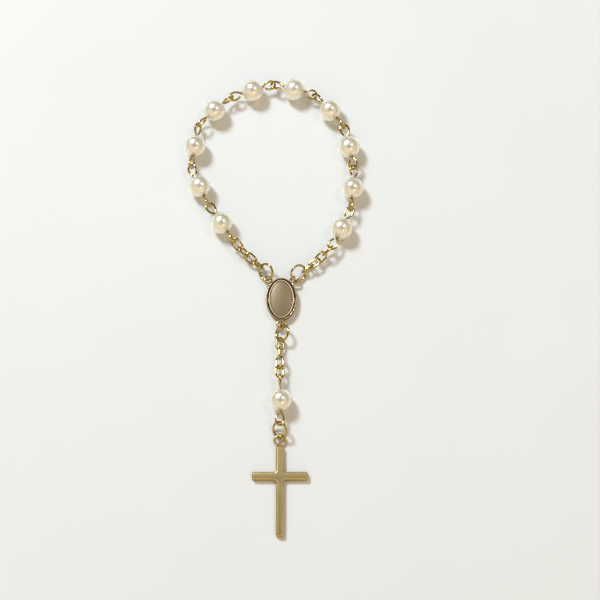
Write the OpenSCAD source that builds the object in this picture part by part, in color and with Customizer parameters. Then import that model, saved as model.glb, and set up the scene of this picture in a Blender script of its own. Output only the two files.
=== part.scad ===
// One-decade prayer bracelet: a closed loop of ten pearls on eye pins, joined by two short chains
// to an oval medal, with a drop of chain, one more pearl and a small cross.
// It lies flat: the floor is z = 0, and the drop runs toward -Y.

/* [Pearls] */
// Diameter of every pearl
pearl_d = 6; // [5.5:0.1:6.5]
// Diameter of the hole drilled through each pearl
pearl_bore_d = 1.3; // [1.25:0.05:1.6]

/* [Eye pins] */
// Thickness of the pin's wire
pin_wire = 0.62; // [0.55:0.01:0.65]
// Width over an eye
eye_w = 2.95; // [2.9:0.05:3.3]
// How far an eye reaches past its pearl, round the loop
eye_reach = 3.8; // [3.4:0.05:4]
// How far the eyes of the drop's pin reach past its pearl
drop_reach = 4.1; // [3.4:0.05:4.2]

/* [Chain] */
// Length over a link
link_l = 4; // [3.7:0.05:4.2]
// Width over a link
link_w = 2.7; // [2.6:0.05:3]
// Thickness of a link's wire
link_wire = 0.58; // [0.5:0.01:0.6]
// Diameter over a jump ring
ring_d = 5; // [4.8:0.1:5.4]
// Thickness of a jump ring's wire
ring_wire = 0.64; // [0.58:0.02:0.66]
// Width of the slit where a jump ring's ends meet
ring_slit = 0.12; // [0.1:0.02:0.3]
// Clearance left wherever two pieces hook into each other
play = 0.2; // [0.18:0.01:0.24]

/* [Medal] */
// Width of the medal's oval
medal_w = 8.3; // [8:0.1:9]
// Height of the medal's oval
medal_h = 11.6; // [11:0.1:12]
// Thickness of the medal at its outer rim
medal_t = 2.2; // [2:0.1:2.6]
// Diameter over an upper ear
ear_d = 2.8; // [2.6:0.05:2.9]
// Diameter over the lower ear
foot_ear_d = 3; // [2.8:0.05:3.2]
// Thickness of the ears' wire
ear_wire = 0.6; // [0.56:0.02:0.62]

/* [Cross] */
// Height of the cross from its foot to the top of its post
cross_h = 24; // [20:0.2:30]
// Width over the arms
cross_w = 14.8; // [12:0.2:18]
// Width of the post and of the arms
bar_w = 2.1; // [1.8:0.1:3]
// Thickness of the cross
cross_t = 1.8; // [1.5:0.1:2.4]
// How far below the top of the post the arms are centred
arm_drop = 8; // [6:0.2:10]
// Width of the bevel along the front edges
bevel = 0.4; // [0.2:0.05:0.6]
// Diameter over the ring at the top of the cross
bail_d = 3.6; // [3.4:0.1:4]
// Thickness of that ring's wire
bail_wire = 0.72; // [0.66:0.02:0.74]

/* [Hidden] */
$fn = 48;
gold = [0.86, 0.71, 0.42];
cream = [0.96, 0.92, 0.84];
taupe = [0.58, 0.51, 0.41];

pearl_r = pearl_d / 2;
eye_r = (eye_w - pin_wire) / 2;
ring_r = (ring_d - ring_wire) / 2;

// Kinds of piece in the loop and in the drop
RING = 0;
LINK = 1;
PIN = 2;

// Columns of the two tables below
KIND = 0;
HEADING = 1;
ROLL_IN = 2;
ROLL_OUT = 3;
LIFT = 3;
SLACK = 4;
RISE = 5;
BEND = 6;

// The loop as it lies, one row a piece from the medal's left ear round to its right ear:
// [kind, heading in degrees, roll of its first end, roll of its last end (of a ring: its lift),
//  how far the next piece is pushed in,
//  height of its last end as a share of the way from ear to pearl hole,
//  of a pin: how far its last eye turns aside from its stem, the first eye as far the other way].
// The lift of a ring is how far its centre lies off the line between the pieces that it holds,
// in degrees of its circle.
loop_rows = [
    [RING, 116, -42, 20, 0, 0.05],
    [LINK, 142, 58, 58, 0, 0.2],
    [LINK, 136, -12, -12, 0, 0.4],
    [LINK, 134, 50, 50, 0, 0.68],
    [LINK, 131, -20, -20, 0, 1],
    [PIN, 124, 72, 8, 0, 1, 0],
    [PIN, 114, 80, -26, 0, 1, -3],
    [PIN, 81, 62, 56, 0, 1, -1],
    [PIN, 42, -48, 84, 0, 1, -6],
    [PIN, 18, -4, 45, 0, 1, -2],
    [PIN, -16, -20, 27, 0.35, 1, -2],
    [PIN, -49, -37, 90, 0, 1, -5],
    [PIN, -77, 2, 28, 0, 1, -1],
    [PIN, -95, -32, 70, 0.3, 1, -1],
    [PIN, -116, 8, -4, 0, 1, -4],
    [LINK, -137, 72, 72, 0, 0.68],
    [LINK, -134, -28, -28, 0.2, 0.4],
    [LINK, -143, 30, 30, 0.3, 0.2],
    [LINK, -146, -96, -96, 0.3, 0.05],
    [RING, -133, -37, 20, 0.25, 0],
];

// The drop as it lies, one row a piece from the medal's lower ear to the ring of the cross, same columns
drop_rows = [
    [RING, -94, 42, 16, 0, 0.05],
    [LINK, -93, -28, -28, 0, 0.2],
    [LINK, -91, 92, 92, 0, 0.45],
    [LINK, -89, 32, 32, 0, 0.7],
    [LINK, -90, -26, -26, 0, 1],
    [PIN, -90, 84, -28, 0, 1, -4],
    [RING, -87, 38, 0, 0, 0],
];

// Number of pearls in the loop, and of links in each stretch of chain
pearls = 10;
links = 4;
// First row of each stretch in the tables above
LEFT_CHAIN = 1;
FIRST_PIN = 5;
RIGHT_CHAIN = 15;
DROP_CHAIN = 1;
DROP_PIN = 5;

// The medal's profile from its back to the pocket for the face:
// [inset from the oval, height as a share of medal_t]
medal_profile = [
    [0.35, 0], [0.12, 0.06], [0, 0.2], [0, 0.78], [0.05, 0.92], [0.14, 1], [0.26, 0.97],
    [0.36, 0.84], [0.42, 0.62], [0.74, 0.58], [0.79, 0.78], [0.85, 0.88], [0.95, 0.89],
    [1.04, 0.79], [1.06, 0.64],
];
// The face's profile from its back to the top of its dome:
// [share of its width and height, height as a share of medal_t]
face_profile = [
    [0.97, 0.67], [1, 0.69], [1, 0.73], [0.96, 0.765], [0.88, 0.8], [0.76, 0.835],
    [0.6, 0.87], [0.42, 0.9], [0.22, 0.92], [0.05, 0.925],
];
// Share of an inset that is left at the upper and lower ends of the oval,
// where groove and rims are narrower
end_share = 0.7;
// Gap between the face and the wall of its pocket
face_fit = 0.1;
// Points round each oval section
around = 80;

// Where the upper ears sit, as an angle from the medal's short axis, how far all ears sink into the rim,
// how far the outer sides of the upper ears lean up, and how far the lower ear's left side leans up
ear_angle = 56;
ear_sink = 0.28;
ear_lean = 20;
foot_lean = 20;
// Height of the ears' rings above the floor
ear_z = 1.5;
// Directions in which the two ends of the loop leave the upper ears
left_lead = 122;
right_lead = 44;
// Small beads in the groove at each side of the medal: their number, radius and spacing,
// how far below the short axis the middle one lies, how far in from the oval,
// and how high as a share of medal_t
knots = 3;
knot_r = 0.27;
knot_step = 0.5;
knot_drop = 0.5;
knot_inset = 0.6;
knot_rise = 0.72;

// How far the ring at the top of the cross tips up, and how far it leans to the side
bail_pitch = 15;
bail_lean = 20;
// How far inside the hole an eye starts, and so how far that is from the pearl's middle,
// the radius of the bend there, and how many degrees short of the stem the far leg of an eye ends
tuck = 0.15;
eye_start = pearl_r - tuck;
stem_bend_r = 0.5;
eye_slit = 11;
// How far a seated bend runs into its neighbours, and how much thinner it is
seat = 0.06;
seat_step = 0.02;

// Where round a jump ring its slit sits, in degrees from its end toward the next piece
slit_place = 55;

// Length between the hooking points of a piece
function span(row, reach) =
    row[KIND] == RING ? 2 * (ring_r - ring_wire / 2) * cos(row[LIFT]) - play
    : row[KIND] == LINK ? link_l - 2 * link_wire - play
    : 2 * eye_start + 2 * arm(reach) * cos(row[BEND]);

// Length from where an eye starts to its hooking point
function arm(reach) = tuck + reach - pin_wire - play / 2;

// Heights of the hooking points
function heights(rows) = [ear_z, for (row = rows) ear_z + (pearl_r - ear_z) * row[RISE]];

// Steps from one hooking point to the next, the headings turned and opened by so many degrees
function steps(rows, reach, turn = 0, open = 0) =
    let (z = heights(rows), last = len(rows) - 1)
    [for (i = [0:last])
        let (
            heading = rows[i][HEADING] + turn + open * (2 * i / last - 1),
            rise = z[i + 1] - z[i],
            run = sqrt(pow(span(rows[i], reach), 2) - rise * rise) - rows[i][SLACK]
        )
        [run * cos(heading), run * sin(heading), rise]];

// The hooking points themselves
function points(start, moves) =
    [for (i = 0, p = start; i <= len(moves); p = i < len(moves) ? p + moves[i] : p, i = i + 1) p];

// The loop closes by turning and opening its headings a little until its last point meets the right ear
function miss(turn, open) =
    let (all = points(loop_start, steps(loop_rows, eye_reach, turn, open)))
    all[len(all) - 1] - loop_end;
function closed(turn, open, tries) =
    tries == 0 ? [turn, open]
    : let (
        nudge = 0.01,
        now = miss(turn, open),
        by_turn = (miss(turn + nudge, open) - now) / nudge,
        by_open = (miss(turn, open + nudge) - now) / nudge,
        det = by_turn.x * by_open.y - by_turn.y * by_open.x
    )
    closed(
        turn - (now.x * by_open.y - now.y * by_open.x) / det,
        open - (by_turn.x * now.y - by_turn.y * now.x) / det,
        tries - 1
    );

// Distance from the medal's centre to its oval at an angle
function oval_reach(angle) = 1 / norm([cos(angle) / (medal_w / 2), sin(angle) / (medal_h / 2)]);

ear_at = oval_reach(ear_angle) + ear_d / 2 - ear_sink;
right_ear = ear_at * [cos(ear_angle), sin(ear_angle)];
left_ear = [-right_ear.x, right_ear.y];
foot_ear = [0, -medal_h / 2 - foot_ear_d / 2 + ear_sink];

// A hooking point lies this far from the middle of a ring's hole
function hook(outer_d, wire) = outer_d / 2 - wire - play / 2;

loop_start = [
    left_ear.x + hook(ear_d, ear_wire) * cos(left_lead),
    left_ear.y + hook(ear_d, ear_wire) * sin(left_lead),
    ear_z,
];
loop_end = [
    right_ear.x + hook(ear_d, ear_wire) * cos(right_lead),
    right_ear.y + hook(ear_d, ear_wire) * sin(right_lead),
    ear_z,
];
drop_start = [0, foot_ear.y - hook(foot_ear_d, ear_wire), ear_z];

fit = closed(0, 0, 8);
loop_points = points(loop_start, steps(loop_rows, eye_reach, fit[0], fit[1]));
drop_points = points(drop_start, steps(drop_rows, drop_reach));
cross_hook = drop_points[len(drop_rows)];
cross_eye = cross_hook - hook(bail_d, bail_wire)
    * [sin(bail_lean) * sin(bail_pitch), cos(bail_pitch), cos(bail_lean) * sin(bail_pitch)];
cross_foot = cross_eye.y - bail_d / 2 + bail_wire / 2 - cross_h;

function middle(list, i) = (list[i] + list[i + 1]) / 2;

// The middle of a pearl, which lies off the line between its hooking points as far as its eyes turn aside
function pearl_spot(list, rows, i, reach) =
    let (run = list[i + 1] - list[i])
    middle(list, i) + arm(reach) * sin(rows[i][BEND]) * [run.y, -run.x, 0] / norm(run);
pearl_spots = [
    for (i = [0:pearls - 1]) pearl_spot(loop_points, loop_rows, FIRST_PIN + i, eye_reach),
    pearl_spot(drop_points, drop_rows, DROP_PIN, drop_reach),
];

// The whole piece is set with the middle of its outline on the origin
home = -[
    min([for (p = pearl_spots) p.x]) + max([for (p = pearl_spots) p.x]),
    cross_foot + max([for (p = pearl_spots) p.y]) + pearl_r,
    0,
] / 2;

// Puts a piece at a spot, x along the way from one hooking point to the next
module along(list, i, spot, roll = 0) {
    run = list[i + 1] - list[i];
    translate(home + spot)
        rotate([roll, -asin(run.z / norm(run)), atan2(run.y, run.x)])
            children();
}

// Puts a piece midway between its two hooking points
module between(list, i, roll) {
    along(list, i, middle(list, i), roll)
        children();
}

// A drilled pearl, its hole along x
module pearl() {
    color(cream)
        rotate([0, 90, 0])
            rotate_extrude()
                difference() {
                    circle(d = pearl_d);
                    translate([-pearl_d, -pearl_d])
                        square([pearl_d + pearl_bore_d / 2, 2 * pearl_d]);
                }
}

// One eye at the +x end of a pin, open by a slit beside the stem: the stem's bend outward,
// a leg that curves back, the round end, and the other leg, which stops short of the stem
module eye(reach) {
    round_end = pearl_r + reach - pin_wire / 2 - eye_r;
    turn = 2 * atan(eye_r / (round_end - eye_start));
    leg_r = (round_end - eye_start) / sin(turn) - stem_bend_r;
    translate([eye_start, stem_bend_r])
        seated_arc(stem_bend_r, -90, turn);
    translate([round_end, eye_r - leg_r])
        wire_arc(leg_r, 90, turn, pin_wire);
    translate([round_end, 0])
        seated_arc(eye_r, -90, 180);
    translate([round_end, leg_r - eye_r])
        wire_arc(leg_r, -90 - turn + eye_slit, turn - eye_slit, pin_wire);
}

// A bend of wire, from an angle on through so many degrees
module wire_arc(radius, from, turn, wire) {
    rotate([0, 0, from])
        rotate_extrude(angle = turn)
            translate([radius, 0])
                circle(d = wire);
}

// A bend a hair thinner than its neighbours, whose ends are seated in them
module seated_arc(radius, from, turn) {
    extra = seat * 180 / (PI * radius);
    wire_arc(radius, from - extra, turn + 2 * extra, pin_wire - seat_step);
}

// Turns an eye aside at its start
module aside(bend) {
    translate([eye_start, 0, 0])
        rotate([0, 0, bend])
            translate([-eye_start, 0, 0])
                children();
}

// A pin along x, its two eyes rolled each by its own angle and turned aside by the same
module eye_pin(reach, roll_in, roll_out, bend) {
    color(gold)
        union() {
            rotate([0, 90, 0])
                cylinder(d = pin_wire, h = 2 * eye_start, center = true);
            aside(bend)
                rotate([roll_out, 0, 0])
                    eye(reach);
            mirror([1, 0, 0])
                aside(bend)
                    rotate([roll_in, 0, 0])
                        eye(reach);
        }
}

// An oval link, its long way along x
module link() {
    bend = (link_w - link_wire) / 2;
    straight = link_l - link_w;
    color(gold)
        union() {
            for (side = [-1, 1]) {
                translate([-straight / 2, side * bend, 0])
                    rotate([0, 90, 0])
                        cylinder(d = link_wire, h = straight);
                translate([side * straight / 2, 0, 0])
                    rotate([0, 0, -90 * side])
                        rotate_extrude(angle = 180)
                            translate([bend, 0])
                                circle(d = link_wire);
            }
        }
}

// A jump ring with its slit, lifted toward the side that its roll raises
module jump_ring(roll, lift) {
    slit = asin(ring_slit / ring_r);
    up = sign(roll);
    color(gold)
        translate([0, up * (ring_r - ring_wire / 2) * sin(lift), 0])
            rotate([0, 0, up * slit_place + slit / 2])
                rotate_extrude(angle = 360 - slit)
                    translate([ring_r, 0])
                        circle(d = ring_wire);
}

// A ring of wire lying flat
module ear(outer_d, wire) {
    rotate_extrude()
        translate([(outer_d - wire) / 2, 0])
            circle(d = wire);
}

// Points of an oval section: of the medal's oval drawn in, or of the face's oval scaled down
function medal_ring(inset, z) =
    let (a = medal_w / 2, b = medal_h / 2)
    [for (i = [0:around - 1])
        let (t = 360 * i / around, n = [b * cos(t), a * sin(t)])
        [a * cos(t) - inset * n.x / norm(n), b * sin(t) - end_share * inset * n.y / norm(n), z]];
function face_ring(share, z) =
    let (inset = medal_profile[len(medal_profile) - 1][0] + face_fit)
    [for (p = medal_ring(inset, z)) [p.x * share, p.y * share, z]];

// A solid through oval sections that start at its back and end on its front
module through(rings) {
    last = len(rings) - 1;
    polyhedron(
        points = [for (ring = rings) each ring],
        faces = [
            [for (i = [0:around - 1]) i],
            for (r = [0:last - 1], i = [0:around - 1])
                let (j = (i + 1) % around)
                [r * around + i, (r + 1) * around + i, (r + 1) * around + j, r * around + j],
            [for (i = [around - 1:-1:0]) last * around + i],
        ]
    );
}

module medal() {
    color(gold)
        translate(home)
            union() {
                through([for (row = medal_profile) medal_ring(row[0], row[1] * medal_t)]);
                for (side = [-1, 1])
                    translate([side * right_ear.x, right_ear.y, ear_z])
                        rotate([0, -side * ear_lean, 0])
                            ear(ear_d, ear_wire);
                translate([foot_ear.x, foot_ear.y, ear_z])
                    rotate([0, foot_lean, 0])
                        ear(foot_ear_d, ear_wire);
                for (side = [-1, 1], i = [0:knots - 1])
                    knot(side, i - (knots - 1) / 2);
            }
}

// One of the small beads in the groove, so many places above the middle one
module knot(side, place) {
    y = place * knot_step - knot_drop;
    x = (medal_w / 2 - knot_inset) * sqrt(1 - pow(y / (medal_h / 2 - knot_inset), 2));
    translate([side * x, y, knot_rise * medal_t])
        sphere(r = knot_r);
}

module medal_face() {
    color(taupe)
        translate(home)
            through([for (row = face_profile) face_ring(row[0], row[1] * medal_t)]);
}

// A bar of the cross along y from 0, bevelled along its front edges and its ends
module bar(length) {
    half = bar_w / 2;
    intersection() {
        rotate([-90, 0, 0])
            linear_extrude(length)
                polygon([
                    [-half, 0], [-half, bevel - cross_t], [bevel - half, -cross_t],
                    [half - bevel, -cross_t], [half, bevel - cross_t], [half, 0],
                ]);
        rotate([90, 0, 90])
            linear_extrude(bar_w + 1, center = true)
                polygon([
                    [0, 0], [0, cross_t - bevel], [bevel, cross_t],
                    [length - bevel, cross_t], [length, cross_t - bevel], [length, 0],
                ]);
    }
}

module cross() {
    top = cross_foot + cross_h;
    color(gold)
        translate(home)
            union() {
                translate([cross_eye.x, cross_foot, 0])
                    bar(cross_h);
                translate([cross_eye.x + cross_w / 2, top - arm_drop, 0])
                    rotate([0, 0, 90])
                        bar(cross_w);
                translate(cross_eye)
                    rotate([bail_pitch, bail_lean, 0])
                        ear(bail_d, bail_wire);
            }
}

// The loop's pearls and their pins
for (i = [1:pearls]) {
    row = FIRST_PIN + i - 1;
    pin = loop_rows[row];
    along(loop_points, row, pearl_spots[i - 1]) pearl();
    along(loop_points, row, pearl_spots[i - 1])
            eye_pin(eye_reach, pin[ROLL_IN], pin[ROLL_OUT], pin[BEND]);
}

// The drop's pearl and its pin
drop_pin = drop_rows[DROP_PIN];
along(drop_points, DROP_PIN, pearl_spots[pearls]) pearl();  // pearl_drop
along(drop_points, DROP_PIN, pearl_spots[pearls])  // eye_pin_drop
        eye_pin(drop_reach, drop_pin[ROLL_IN], drop_pin[ROLL_OUT], drop_pin[BEND]);

// The three stretches of chain
for (i = [1:links]) {
    left = LEFT_CHAIN + i - 1;
    right = RIGHT_CHAIN + i - 1;
    drop = DROP_CHAIN + i - 1;
    between(loop_points, left, loop_rows[left][ROLL_IN]) link();
    between(loop_points, right, loop_rows[right][ROLL_IN]) link();
    between(drop_points, drop, drop_rows[drop][ROLL_IN]) link();
}

// The four jump rings
last_loop = len(loop_rows) - 1;
last_drop = len(drop_rows) - 1;
between(loop_points, 0, loop_rows[0][ROLL_IN]) jump_ring(loop_rows[0][ROLL_IN], loop_rows[0][LIFT]);  // left_jump_ring
between(loop_points, last_loop, loop_rows[last_loop][ROLL_IN])  // right_jump_ring
        jump_ring(loop_rows[last_loop][ROLL_IN], loop_rows[last_loop][LIFT]);
between(drop_points, 0, drop_rows[0][ROLL_IN]) jump_ring(drop_rows[0][ROLL_IN], drop_rows[0][LIFT]);  // medal_jump_ring
between(drop_points, last_drop, drop_rows[last_drop][ROLL_IN])  // cross_jump_ring
        jump_ring(drop_rows[last_drop][ROLL_IN], drop_rows[last_drop][LIFT]);

medal();
medal_face();
cross();
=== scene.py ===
import math

import bpy
import numpy as np
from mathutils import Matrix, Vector, noise


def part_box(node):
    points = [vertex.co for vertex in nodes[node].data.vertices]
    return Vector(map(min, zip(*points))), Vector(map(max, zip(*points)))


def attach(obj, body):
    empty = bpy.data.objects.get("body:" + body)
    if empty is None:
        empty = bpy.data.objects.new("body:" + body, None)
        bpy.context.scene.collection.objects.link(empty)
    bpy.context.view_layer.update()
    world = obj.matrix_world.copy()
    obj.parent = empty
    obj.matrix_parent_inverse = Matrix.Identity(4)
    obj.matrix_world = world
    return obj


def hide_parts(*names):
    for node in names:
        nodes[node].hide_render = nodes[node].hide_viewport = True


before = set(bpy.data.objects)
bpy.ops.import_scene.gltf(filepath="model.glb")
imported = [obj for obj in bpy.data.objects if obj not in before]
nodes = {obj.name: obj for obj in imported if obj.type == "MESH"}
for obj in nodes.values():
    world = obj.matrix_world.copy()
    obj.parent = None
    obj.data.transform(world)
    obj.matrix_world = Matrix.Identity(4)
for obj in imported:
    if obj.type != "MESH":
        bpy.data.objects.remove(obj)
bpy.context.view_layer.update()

MM = 0.001

# As in the CAD, sizes in millimetres and angles in degrees. END_SHARE is a share of an inset and
# KNOT_RISE a share of the medal's thickness
PEARL_R, BORE_R = 3.0, 0.65
MEDAL_T, RIM_INSET, END_SHARE = 2.2, 1.16, 0.7
EAR_D, FOOT_EAR_D, EAR_WIRE = 2.8, 3.0, 0.6
EAR_ANGLE, EAR_SINK, EAR_LEAN, EAR_Z = 56.0, 0.28, 20.0, 1.5
KNOT_R, KNOT_STEP, KNOT_DROP, KNOT_INSET, KNOT_RISE = 0.27, 0.5, 0.5, 0.6, 0.72
CROSS_H, BAR_W, ARM_DROP = 24.0, 2.1, 8.0
BAIL_D, BAIL_WIRE, BAIL_PITCH, BAIL_LEAN = 3.6, 0.72, 15.0, 20.0

# Only the looks have these, in millimetres: the rounding of the lips of a pearl's hole and of the
# cross's corners
LIP_R, CORNER_R = 0.11, 0.6
# The shallow dents in a pearl: mean depth, cycles a millimetre, and how far their pattern moves
# on from one pearl to the next
DENT, DENT_SCALE, DENT_SHIFT = 0.006, 0.7, 7.3

# The rim's profile from the back to the pocket for the face: inset from the oval in millimetres
# and share of the medal's thickness
RIM = [
    (1.45, 0.0), (0.9, 0.0), (0.35, 0.004), (0.12, 0.06), (0.01, 0.2), (0.0, 0.5), (0.01, 0.78),
    (0.05, 0.92), (0.14, 0.995), (0.24, 0.975), (0.33, 0.88), (0.39, 0.72), (0.44, 0.6),
    (0.57, 0.575), (0.7, 0.6), (0.74, 0.75), (0.78, 0.85), (0.85, 0.9), (0.96, 0.9), (1.04, 0.84),
    (1.09, 0.74), (1.1, 0.64), (1.45, 0.635),
]
# Where the rim gets painted shade or a painted highlight: amount, middle of the inset, half width,
# sharpness
PAINTED_SHADE_ROWS = [(1.0, 0.55, 0.16, 4), (1.0, 1.16, 0.04, 2)]
PAINTED_HIGHLIGHT_ROWS = [(1.0, 0.92, 0.17, 4), (0.3, 0.15, 0.1, 4)]
# Below this share of the thickness the frame's side and back get a little painted shade, by this
# amount
SIDE_TOP, SIDE_SHADE = 0.4, 0.1
# The face's profile: share of its half sizes and share of the medal's thickness
FACE = [
    (0.94, 0.67), (0.97, 0.672), (0.995, 0.685), (1.0, 0.705), (0.995, 0.735), (0.96, 0.765),
    (0.88, 0.8), (0.76, 0.835), (0.6, 0.869), (0.42, 0.898), (0.22, 0.918), (0.08, 0.924),
    (0.02, 0.925),
]
# The section of the cross from its back to its front: inset and height in millimetres
CROSS_EDGE = [
    (0.3, 0.0), (0.12, 0.004), (0.02, 0.06), (0.0, 0.16), (0.0, 0.8), (0.0, 1.3), (0.03, 1.4),
    (0.1, 1.49), (0.3, 1.7), (0.38, 1.76), (0.46, 1.79), (0.56, 1.8),
]

# Colours in linear light. Two together are mixed in clouds. The third is the one that a pearl
# tends to by chance, or the colour of the gold's spots
CREAM = ((0.945, 0.885, 0.745), (0.96, 0.90, 0.76), (0.96, 0.885, 0.745))
PEARL_SHEEN = (1.0, 0.955, 0.86)
OLIVE_GOLD = ((0.60, 0.455, 0.13), (0.53, 0.39, 0.10), (0.34, 0.22, 0.045))
YELLOW_GOLD = ((0.66, 0.51, 0.25), (0.60, 0.455, 0.205), (0.44, 0.30, 0.115))
GOLD_EDGE = (0.30, 0.18, 0.06)
# The medal's painted shade, for its groove, the gap round its face and its lower side, and its
# painted highlight, for its lip and outer edge
PAINTED_SHADE_COLOUR, PAINTED_HIGHLIGHT_COLOUR = (0.09, 0.055, 0.018), (0.97, 0.88, 0.66)
FACE_BROWN = ((0.293, 0.216, 0.116), (0.257, 0.189, 0.101))
FLOOR_WHITE = ((0.835, 0.835, 0.825), (0.855, 0.855, 0.845))
SKY_WARM = (1.0, 0.84, 0.60)

# Lamps: direction, distance and width in metres, power in watts, colour
LAMPS = {
    "key": ((-0.42, 0.50, 0.76), 1.3, 0.32, 12.8, (0.76, 0.89, 1.0)),
    "window": ((-0.28, 0.62, 0.73), 1.3, 0.9, 1.9, (0.94, 0.90, 1.0)),
    "side": ((0.43, 0.18, 0.88), 1.3, 0.28, 1.8, (1.0, 0.94, 0.90)),
    "front": ((0.31, -0.57, 0.76), 1.2, 0.08, 0.4, (1.0, 0.86, 0.70)),
}
# The sky is a band of light over a dimmer horizon and under a dark zenith. Each row has the
# strengths at two heights and those heights, as the sine of the elevation
SKY_RISE, SKY_FALL = (0.4, 0.56, 0.05, 0.48), (1.0, 0.08, 0.76, 0.95)
# Its strength toward -Y and toward +Y
SKY_FRONT, SKY_BACK = 1.8, 0.2

# In metres: the point that the camera and the lamps look at, the camera's place from there, the
# nearest that it sees, the floor's half width and how far it lies below the part
TARGET, CAMERA_REACH, CAMERA_NEAR = (0.00727, 0.00007, 0.003), (0.0, -0.1318, 0.4918), 0.05
FLOOR_REACH, FLOOR_GAP = 3.0, 0.00002
# The camera's sensor and lens in millimetres
SENSOR, LENS = 36.0, 114.0


# Geometry helpers

def points_of(name):
    mesh = nodes[name].data
    co = np.zeros(len(mesh.vertices) * 3)
    mesh.vertices.foreach_get("co", co)
    return co.reshape(-1, 3)


def middle_of(pts):
    return (pts.min(0) + pts.max(0)) / 2


def soft_curve(rows, steps):
    """A smooth curve through the rows, with so many steps a row, kept inside their range."""
    p = np.array([rows[0], *rows, rows[-1]], float)
    out = []
    for i in range(1, len(p) - 2):
        a, b, c, d = p[i - 1 : i + 3]
        for t in np.linspace(0, 1, steps, endpoint=False):
            square = (2 * a - 5 * b + 4 * c - d) * t * t
            cube = (3 * b - a - 3 * c + d) * t ** 3
            out.append(0.5 * (2 * b + (c - a) * t + square + cube))
    out.append(p[-2])
    return np.clip(out, p.min(0), p.max(0))


def grid_faces(rows, cols, wrap_rows=False):
    """Quads between rows of points, each row a closed ring."""
    faces = []
    for r in range(rows if wrap_rows else rows - 1):
        q = (r + 1) % rows
        for c in range(cols):
            d = (c + 1) % cols
            faces.append((r * cols + c, r * cols + d, q * cols + d, q * cols + c))
    return faces


class Shape:
    """Collects closed shells, in millimetres, and makes one object of them."""

    def __init__(self):
        # Each point also carries a value of painted light: above 0 painted shade, below 0 a
        # painted highlight
        self.verts, self.faces, self.painted_light = [], [], []

    def add(self, pts, faces, painted_light=None):
        base = len(self.verts)
        pts = np.asarray(pts, float)
        self.verts += pts.tolist()
        self.faces += [tuple(base + i for i in f) for f in faces]
        self.painted_light += [0.0] * len(pts) if painted_light is None else list(painted_light)

    def loft(self, rings, painted_light=None):
        """A closed solid through rings of equal length, from its back to its front."""
        cols = len(rings[0])
        last = (len(rings) - 1) * cols
        faces = [tuple(reversed(range(cols)))] + grid_faces(len(rings), cols)
        faces.append(tuple(range(last, last + cols)))
        self.add(np.concatenate(rings), faces, None if painted_light is None else np.repeat(painted_light, cols))

    def ring(self, centre, u, v, radius, wire, around=96, across=24):
        """A ring of round wire in the plane of u and v."""
        centre, u, v = (np.array(x, float) for x in (centre, u, v))
        w = np.cross(u, v)
        pts = []
        for i in range(around):
            t = 2 * math.pi * i / around
            out = math.cos(t) * u + math.sin(t) * v
            for j in range(across):
                s = 2 * math.pi * j / across
                reach = radius + wire / 2 * math.cos(s)
                pts.append(centre + out * reach + w * wire / 2 * math.sin(s))
        self.add(pts, grid_faces(around, across, wrap_rows=True))

    def bead(self, centre, radius, rows=12, cols=20):
        """A small ball, flat for its last 5 degrees at both poles."""
        t = np.linspace(0, 2 * math.pi, cols, endpoint=False)
        rings = []
        for a in np.radians(np.linspace(-85, 85, rows)):
            out, up = radius * math.cos(a), radius * math.sin(a)
            rings.append(np.c_[centre[0] + out * np.cos(t), centre[1] + out * np.sin(t),
                               np.full(cols, centre[2] + up)])
        self.loft(rings)

    def make(self, name):
        mesh = bpy.data.meshes.new(name)
        mesh.from_pydata([tuple(x * MM for x in p) for p in self.verts], [], self.faces)
        mesh.validate()
        mesh.polygons.foreach_set("use_smooth", [True] * len(mesh.polygons))
        layer = mesh.attributes.new("painted_light", "FLOAT", "POINT")
        layer.data.foreach_set("value", self.painted_light)
        obj = bpy.data.objects.new(name, mesh)
        bpy.context.scene.collection.objects.link(obj)
        return obj


def frame_piece(obj, node, material):
    """The object stands in for a CAD node, which it hides; it gets the given material and hangs
    under the root body.
    """
    obj.data.materials.clear()
    obj.data.materials.append(material)
    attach(obj, "root")
    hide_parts(node)


# Materials

def rgba(colour):
    return (*colour, 1.0)


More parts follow.
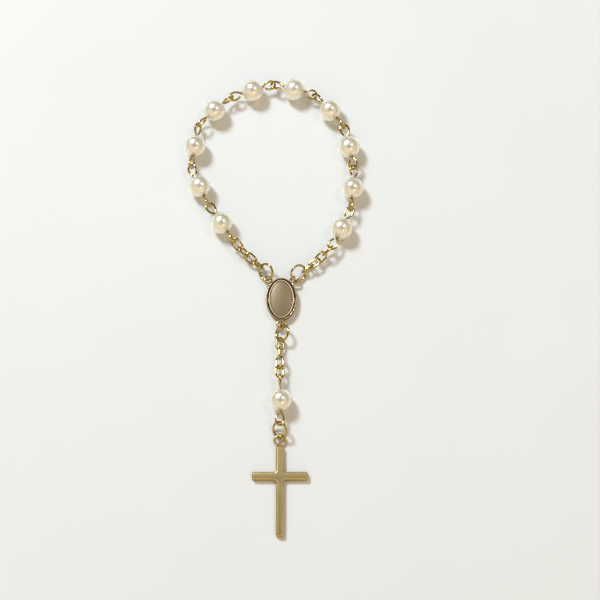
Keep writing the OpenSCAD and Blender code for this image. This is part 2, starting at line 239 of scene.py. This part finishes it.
class Graph:
    """The nodes of one material or of the world."""

    def __init__(self, name, is_world=False):
        self.owner = bpy.data.worlds.new(name) if is_world else bpy.data.materials.new(name)
        self.owner.use_nodes = True
        self.tree = self.owner.node_tree
        self.tree.nodes.clear()

    def add(self, kind, ins=None, **props):
        """A node, with each input linked to a socket or set to a value."""
        node = self.tree.nodes.new(kind)
        for key, value in props.items():
            setattr(node, key, value)
        for key, value in (ins or {}).items():
            if isinstance(value, bpy.types.NodeSocket):
                self.tree.links.new(value, node.inputs[key])
            else:
                node.inputs[key].default_value = value
        return node

    def grain(self, scale, detail, stretch=(1.0, 1.0, 1.0), rough=0.5):
        """Noise over the piece, its scale in cycles a millimetre."""
        where = self.add("ShaderNodeTexCoord").outputs["Object"]
        size = [scale / MM * s for s in stretch]
        mapped = self.add("ShaderNodeMapping", {"Vector": where, "Scale": size}).outputs[0]
        ins = {"Vector": mapped, "Scale": 1.0, "Detail": detail, "Roughness": rough}
        return self.add("ShaderNodeTexNoise", ins).outputs["Fac"]

    def span(self, value, low, high, start=0.3, end=0.7):
        """From low at start to high at end, level outside."""
        ins = {"Value": value, "From Min": start, "From Max": end, "To Min": low, "To Max": high}
        return self.add("ShaderNodeMapRange", ins).outputs[0]

    def math(self, kind, a, b):
        return self.add("ShaderNodeMath", {0: a, 1: b}, operation=kind).outputs[0]

    def mix(self, factor, a, b):
        ins = {0: factor, 6: a, 7: b}
        return self.add("ShaderNodeMix", ins, data_type="RGBA").outputs[2]

    def mottle(self, value, light, dark):
        """From one colour to the other where the noise goes from low to high."""
        return self.mix(self.span(value, 0.0, 1.0), rgba(light), rgba(dark))

    def bump(self, height, strength, reach, under=None):
        """Relief that reaches so many millimetres, on top of another one if it is given."""
        ins = {"Height": height, "Strength": strength, "Distance": reach * MM}
        if under is not None:
            ins["Normal"] = under
        return self.add("ShaderNodeBump", ins).outputs[0]

    def finish(self, shader, kind="ShaderNodeOutputMaterial"):
        self.add(kind, {"Surface": shader})
        return self.owner

    def principled(self, ins):
        return self.finish(self.add("ShaderNodeBsdfPrincipled", ins).outputs[0])


def pearl_material():
    """Cloudy cream lacquer with a soft sheen and a thin film that tints its glints."""
    g = Graph("pearl_lacquer")
    each = g.add("ShaderNodeObjectInfo").outputs["Random"]
    cloud = g.grain(0.22, 2.0)
    fine = g.grain(9.0, 2.0)
    body = g.mottle(cloud, *CREAM[:2])
    body = g.mix(g.math("MULTIPLY", each, 0.5), body, rgba(CREAM[2]))
    return g.principled({
        "Base Color": body,
        "Metallic": 0.6,
        "Roughness": g.span(cloud, 0.24, 0.31),
        "IOR": 1.7,
        "Subsurface Weight": 1.0,
        "Subsurface Radius": (1.0, 0.9, 0.7),
        "Subsurface Scale": 0.003,
        "Coat Weight": 0.5,
        "Coat Roughness": 0.17,
        "Coat IOR": 1.5,
        "Sheen Weight": 0.95,
        "Sheen Roughness": 0.42,
        "Sheen Tint": rgba(PEARL_SHEEN),
        "Thin Film Thickness": 480.0,
        "Thin Film IOR": 1.45,
        "Normal": g.bump(fine, 0.02, 0.004),
    })


def gold_material(name, colours, rough_span, coat, coat_ior=1.5, has_painted_light=False):
    """Gold plate with clouds, darker spots and drawing lines. On the medal, painted shade darkens
    the groove and gaps, and a painted highlight lightens the lip and outer edge.
    """
    g = Graph(name)
    light, dark, spot = colours
    cloud = g.grain(0.5, 3.0)
    spots = g.grain(3.5, 4.0)
    hair = g.grain(1.2, 5.0, stretch=(1.0, 7.0, 2.0), rough=0.7)
    colour = g.mottle(cloud, light, dark)
    colour = g.mix(g.span(spots, 0.0, 0.35, start=0.55, end=0.75), colour, rgba(spot))
    rough = g.span(spots, *rough_span)
    metal = 1.0
    if has_painted_light:
        # The mesh's per-point painted light: above 0 painted shade, below 0 a painted highlight
        # that is also less metallic; both are a little rougher
        level = g.add("ShaderNodeAttribute", attribute_name="painted_light").outputs["Fac"]
        painted_highlight = g.math("MAXIMUM", g.math("MULTIPLY", level, -1.0), 0.0)
        colour = g.mix(g.math("MAXIMUM", level, 0.0), colour, rgba(PAINTED_SHADE_COLOUR))
        colour = g.mix(painted_highlight, colour, rgba(PAINTED_HIGHLIGHT_COLOUR))
        metal = g.span(painted_highlight, 1.0, 0.05, start=0.0, end=1.0)
        roughening = g.math("MULTIPLY", g.math("ABSOLUTE", level, 0.0), 0.18)
        rough = g.math("ADD", rough, roughening)
    return g.principled({
        "Base Color": colour,
        "Metallic": metal,
        "Specular Tint": rgba(GOLD_EDGE),
        "Roughness": rough,
        "Coat Weight": coat,
        "Coat Roughness": 0.06,
        "Coat IOR": coat_ior,
        "Normal": g.bump(hair, 0.03, 0.004, g.bump(spots, 0.03, 0.01)),
    })


def face_material():
    """Brushed and faintly pitted satin plate."""
    g = Graph("satin_face")
    cloud = g.grain(0.35, 3.0)
    brush = g.grain(1.5, 4.0, stretch=(6.0, 0.6, 1.0), rough=0.65)
    pits = g.grain(14.0, 2.0)
    return g.principled({
        "Base Color": g.mottle(cloud, *FACE_BROWN),
        "Metallic": 0.25,
        "Roughness": g.span(brush, 0.38, 0.50),
        "Coat Weight": 0.12,
        "Coat Roughness": 0.3,
        "Normal": g.bump(brush, 0.12, 0.006, g.bump(pits, 0.10, 0.004)),
    })


def floor_material():
    """A matt, faintly mottled white."""
    g = Graph("pale_floor")
    cloud = g.grain(0.02, 3.0)
    tooth = g.grain(4.0, 3.0)
    return g.principled({
        "Base Color": g.mottle(cloud, *FLOOR_WHITE),
        "Roughness": g.span(tooth, 0.55, 0.65),
        "Specular IOR Level": 0.25,
        "Normal": g.bump(tooth, 0.15, 0.01),
    })


# Pearls, each drilled along its pin, with the hole's lips rounded by the lacquer

def pearl_axis(name, outward=0.6):
    """The pearl's middle in millimetres, and the direction of its bore.

    A face of the bore is one that looks away from the middle by less than the given cosine.
    """
    co = points_of(name)
    centre = middle_of(co)
    inside = set()
    for face in nodes[name].data.polygons:
        out = np.array(face.center) - centre
        if np.dot(np.array(face.normal), out / np.linalg.norm(out)) < outward:
            inside.update(face.vertices)
    bore = co[sorted(inside)]
    axis = np.linalg.svd(bore - middle_of(bore), full_matrices=False)[2][0]
    return centre / MM, axis


def pearl_profile(outer=61, inner=8):
    """Points as (along the hole, away from it): the outside, a lip, the bore, the other lip."""
    lip_mid = math.sqrt((PEARL_R - LIP_R) ** 2 - (BORE_R + LIP_R) ** 2)
    turn = math.atan2(BORE_R + LIP_R, lip_mid)
    outside = [(PEARL_R * math.cos(a), PEARL_R * math.sin(a))
               for a in np.linspace(turn, math.pi - turn, outer)]
    lip = [(-lip_mid + LIP_R * math.cos(a), BORE_R + LIP_R + LIP_R * math.sin(a))
           for a in np.linspace(math.pi - turn, 1.5 * math.pi, inner)[1:]]
    wall = [(x, BORE_R) for x in np.linspace(-lip_mid, lip_mid, inner)[1:-1]]
    other_lip = [(-x, r) for x, r in reversed(lip)]
    return outside + lip + wall + other_lip[:-1]


def pearl(name, seed, cols=84):
    """The profile turned round the bore, with shallow dents of its own."""
    centre, axis = pearl_axis(name)
    side = np.cross(axis, (0.0, 0.0, 1.0))
    side /= np.linalg.norm(side)
    up = np.cross(side, axis)
    profile = pearl_profile()
    pts = []
    for x, r in profile:
        for c in range(cols):
            t = 2 * math.pi * c / cols
            p = axis * x + (side * math.cos(t) + up * math.sin(t)) * r
            at = Vector(p * DENT_SCALE) + Vector((seed * DENT_SHIFT, 0, 0))
            dent = DENT * (1 + noise.noise(at))
            pts.append(centre + p * (1 - dent / PEARL_R))
    shape = Shape()
    faces = grid_faces(len(profile), cols, wrap_rows=True)
    shape.add(pts, [tuple(reversed(f)) for f in faces])
    return shape.make("pearl_finish_" + name.split("_")[-1])


# The medal and its face, built round the middle of the face

face_low, face_high = (np.array(v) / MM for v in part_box("medal_face"))
home = (face_low + face_high) / 2
half_w, half_h = (face_high - face_low)[:2] / 2 + (RIM_INSET, END_SHARE * RIM_INSET)


def oval(inset, z, around=192):
    """The medal's outline, drawn in by the inset, and by a share of it at its two ends."""
    t = np.linspace(0, 2 * math.pi, around, endpoint=False)
    nx, ny = half_h * np.cos(t), half_w * np.sin(t)
    size = np.hypot(nx, ny)
    return np.c_[home[0] + half_w * np.cos(t) - inset * nx / size,
                 home[1] + half_h * np.sin(t) - END_SHARE * inset * ny / size,
                 np.full(around, z)]


def tilted(lean, pitch=0.0):
    """The two axes of a ring that leans to the side and tips up."""
    a, p = math.radians(lean), math.radians(pitch)
    return ((math.cos(a), 0.0, -math.sin(a)),
            (math.sin(p) * math.sin(a), math.cos(p), math.sin(p) * math.cos(a)))


def humps(inset, rows):
    """The rows' humps added up, each a smooth rise round its middle."""
    return sum(amount * np.exp(-((inset - middle) / width) ** power)
               for amount, middle, width, power in rows)


def medal():
    """The frame with its three ears and the knots on its rim."""
    shape = Shape()
    rim = soft_curve(RIM, 4)
    # Above 0 the finish gets painted shade, in the groove and the gap round the face. Below 0 it
    # gets a painted highlight, on the lip and the outer edge
    painted_light = humps(rim[:, 0], PAINTED_SHADE_ROWS) - humps(rim[:, 0], PAINTED_HIGHLIGHT_ROWS)
    # The lower side and the back get a little painted shade as well
    painted_light[rim[:, 1] < SIDE_TOP] = SIDE_SHADE
    shape.loft([oval(inset, share * MEDAL_T) for inset, share in rim], np.clip(painted_light, -1, 1))
    t = math.radians(EAR_ANGLE)
    edge = 1 / math.hypot(math.cos(t) / half_w, math.sin(t) / half_h)
    reach = edge + EAR_D / 2 - EAR_SINK
    radius = (EAR_D - EAR_WIRE) / 2
    for side in (-1, 1):
        at = home + (side * reach * math.cos(t), reach * math.sin(t), 0)
        shape.ring((at[0], at[1], EAR_Z), *tilted(-side * EAR_LEAN), radius, EAR_WIRE)
    foot = home[1] - half_h - FOOT_EAR_D / 2 + EAR_SINK
    foot_radius = (FOOT_EAR_D - EAR_WIRE) / 2
    shape.ring((home[0], foot, EAR_Z), *tilted(EAR_LEAN), foot_radius, EAR_WIRE)
    for side in (-1, 1):
        for place in (-1, 0, 1):
            y = place * KNOT_STEP - KNOT_DROP
            x = (half_w - KNOT_INSET) * math.sqrt(1 - (y / (half_h - KNOT_INSET)) ** 2)
            shape.bead(home + (side * x, y, KNOT_RISE * MEDAL_T - home[2]), KNOT_R)
    return shape.make("medal_finish")


def medal_face():
    """The domed plate, at its edge as wide as the CAD's."""
    shape = Shape()
    outer = oval(RIM_INSET, 0.0)[:, :2] - home[:2]
    shape.loft([np.c_[home[:2] + outer * share, np.full(len(outer), height * MEDAL_T)]
                for share, height in soft_curve(FACE, 4)])
    return shape.make("medal_face_finish")


# The cross, with its outline drawn in at each step of its section

def cross_outline(corners, inset, steps=5):
    """The outline drawn in by the inset, its corners rounded by CORNER_R where it is 0."""
    pts = []
    count = len(corners)
    for i in range(count):
        before, here, after = corners[i - 1], corners[i], corners[(i + 1) % count]
        a = (here - before) / np.linalg.norm(here - before)
        b = (after - here) / np.linalg.norm(after - here)
        turn = 1 if a[0] * b[1] - a[1] * b[0] > 0 else -1
        centre = here - a * CORNER_R + b * CORNER_R
        radius = CORNER_R - turn * inset
        start, end = (turn * np.array([v[1], -v[0]]) for v in (a, b))
        for s in np.linspace(0, 0.5 * math.pi, steps):
            pts.append(centre + radius * (start * math.cos(s) + end * math.sin(s)))
    return np.array(pts)


def cross():
    """The bevelled cross with the ring at its top."""
    low, high = (np.array(v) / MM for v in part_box("cross"))
    cx, foot = (low[0] + high[0]) / 2, low[1]
    half_arm, b = (high[0] - low[0]) / 2, BAR_W / 2
    top = foot + CROSS_H
    arm = top - ARM_DROP
    corners = np.array([
        (cx - b, foot), (cx + b, foot), (cx + b, arm - b), (cx + half_arm, arm - b),
        (cx + half_arm, arm + b), (cx + b, arm + b), (cx + b, top), (cx - b, top),
        (cx - b, arm + b), (cx - half_arm, arm + b), (cx - half_arm, arm - b), (cx - b, arm - b),
    ])
    rings = []
    for inset, z in soft_curve(CROSS_EDGE, 3):
        outline = cross_outline(corners, inset)
        rings.append(np.c_[outline, np.full(len(outline), z)])
    shape = Shape()
    shape.loft(rings)
    u, v = tilted(BAIL_LEAN, BAIL_PITCH)
    radius = (BAIL_D - BAIL_WIRE) / 2
    rise = radius * math.sqrt(1 - np.cross(u, v)[2] ** 2) + BAIL_WIRE / 2
    shape.ring((cx, top + BAIL_D / 2 - BAIL_WIRE / 2, high[2] - rise), u, v, radius, BAIL_WIRE)
    return shape.make("cross_finish")


# Everything is put together

pearl_look = pearl_material()
wire_look = gold_material("gold_wire", OLIVE_GOLD, (0.04, 0.10), coat=0.6, coat_ior=1.8)
cast_look = gold_material("gold_cast", YELLOW_GOLD, (0.12, 0.24), coat=0.3, has_painted_light=True)
satin_look = gold_material("gold_satin", YELLOW_GOLD, (0.32, 0.44), coat=0.1)
face_look = face_material()

for seed, name in enumerate(sorted(n for n in nodes if n.startswith("pearl_"))):
    frame_piece(pearl(name, seed), name, pearl_look)
frame_piece(medal(), "medal", cast_look)
frame_piece(medal_face(), "medal_face", face_look)
frame_piece(cross(), "cross", satin_look)
for name, node in nodes.items():
    if "pin" in name or "link" in name or "ring" in name:
        node.data.materials.clear()
        node.data.materials.append(wire_look)
        node.data.polygons.foreach_set("use_smooth", [True] * len(node.data.polygons))


# Floor, light and camera

floor_mesh = bpy.data.meshes.new("floor")
square = [(x * FLOOR_REACH, y * FLOOR_REACH, 0) for x, y in ((-1, -1), (1, -1), (1, 1), (-1, 1))]
floor_mesh.from_pydata(square, [], [(0, 1, 2, 3)])
floor = bpy.data.objects.new("floor", floor_mesh)
floor.data.materials.append(floor_material())
floor.location.z = -FLOOR_GAP
bpy.context.scene.collection.objects.link(floor)

target = Vector(TARGET)


def lamp(name, toward, distance, size, power, colour):
    data = bpy.data.lights.new(name, "AREA")
    data.shape = "DISK"
    data.size = size
    data.energy = power
    data.color = colour
    obj = bpy.data.objects.new(name, data)
    way = Vector(toward).normalized()
    obj.location = target + way * distance
    obj.rotation_mode = "QUATERNION"
    obj.rotation_quaternion = way.to_track_quat("Z", "Y")
    bpy.context.scene.collection.objects.link(obj)


for name, row in LAMPS.items():
    lamp(name, *row)

world = Graph("studio", is_world=True)
where = world.add("ShaderNodeTexCoord").outputs["Generated"]
way = world.add("ShaderNodeSeparateXYZ", {"Vector": where}).outputs
band = world.math("MULTIPLY", world.span(way["Z"], *SKY_RISE), world.span(way["Z"], *SKY_FALL))
glow = world.math("MULTIPLY", band, world.span(way["Y"], SKY_FRONT, SKY_BACK, -1.0, 1.0))
sky = world.add("ShaderNodeBackground", {"Color": rgba(SKY_WARM), "Strength": glow}).outputs[0]
bpy.context.scene.world = world.finish(sky, "ShaderNodeOutputWorld")

camera = bpy.data.objects.new("camera", bpy.data.cameras.new("camera"))
camera.data.sensor_width = SENSOR
camera.data.lens = LENS
camera.data.clip_start = CAMERA_NEAR
camera.location = target + Vector(CAMERA_REACH)
camera.rotation_mode = "QUATERNION"
camera.rotation_quaternion = (camera.location - target).to_track_quat("Z", "Y")
bpy.context.scene.collection.objects.link(camera)
bpy.context.scene.camera = camera
bpy.context.scene.view_settings.view_transform = "Standard"
